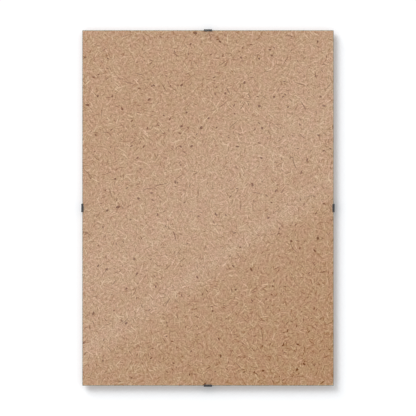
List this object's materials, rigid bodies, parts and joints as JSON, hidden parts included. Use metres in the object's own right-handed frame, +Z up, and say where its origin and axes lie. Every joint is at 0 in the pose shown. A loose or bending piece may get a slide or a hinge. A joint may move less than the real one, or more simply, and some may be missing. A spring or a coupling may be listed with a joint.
{
  "type": "clip frame",
  "caption": "Frameless picture frame: a glass sheet clamped to a fibreboard back by bent spring clips at the middles of its sides, with sawtooth wall hangers behind.",
  "frame": {"origin": "top of the middle notch of the top hanger, on the frame's centre line and in the plane of the board's back, where a wall nail carries the frame", "axes": "+Z up, +X to the right as the viewer sees the glass, and the glass faces -Y, so +Y points into the wall"},
  "size_m": [0.2118, 0.0082, 0.2989],
  "materials": {
    "glass": "clear float glass, seamed edges",
    "fibreboard": "smooth bare fibreboard, light brown with darker fibres",
    "clip_steel": "dark grey tempered spring steel, satin",
    "hanger_steel": "zinc-plated pressed steel, satin",
    "tack_steel": "bright steel tacks"
  },
  "bodies": {
    "frame": {"backing_board": "fibreboard", "glass_sheet": "glass", "top_hanger": "hanger_steel", "side_hanger": "hanger_steel", "top_hanger_left_tack": "tack_steel", "top_hanger_right_tack": "tack_steel", "side_hanger_upper_tack": "tack_steel", "side_hanger_lower_tack": "tack_steel"},
    "top_clip": {"top_clip": "clip_steel"},
    "right_clip": {"right_clip": "clip_steel"},
    "bottom_clip": {"bottom_clip": "clip_steel"},
    "left_clip": {"left_clip": "clip_steel"}
  },
  "joints": [
    {"name": "top_clip_swing", "type": "hinge", "parent": "frame", "child": "top_clip", "pos_m": [0, -0.00555, 0.04425], "axis": [1, 0, 0], "range_deg": [0, 80], "stiffness_Nm_per_rad": 0.002, "springref_deg": -17.19},
    {"name": "right_clip_swing", "type": "hinge", "parent": "frame", "child": "right_clip", "pos_m": [0.10425, -0.00555, -0.1035], "axis": [0, 0, -1], "range_deg": [0, 80], "stiffness_Nm_per_rad": 0.002, "springref_deg": -17.19},
    {"name": "bottom_clip_swing", "type": "hinge", "parent": "frame", "child": "bottom_clip", "pos_m": [0, -0.00555, -0.25125], "axis": [-1, 0, 0], "range_deg": [0, 80], "stiffness_Nm_per_rad": 0.002, "springref_deg": -17.19},
    {"name": "left_clip_swing", "type": "hinge", "parent": "frame", "child": "left_clip", "pos_m": [-0.10425, -0.00555, -0.1035], "axis": [0, 0, 1], "range_deg": [0, 80], "stiffness_Nm_per_rad": 0.002, "springref_deg": -17.19}
  ]
}
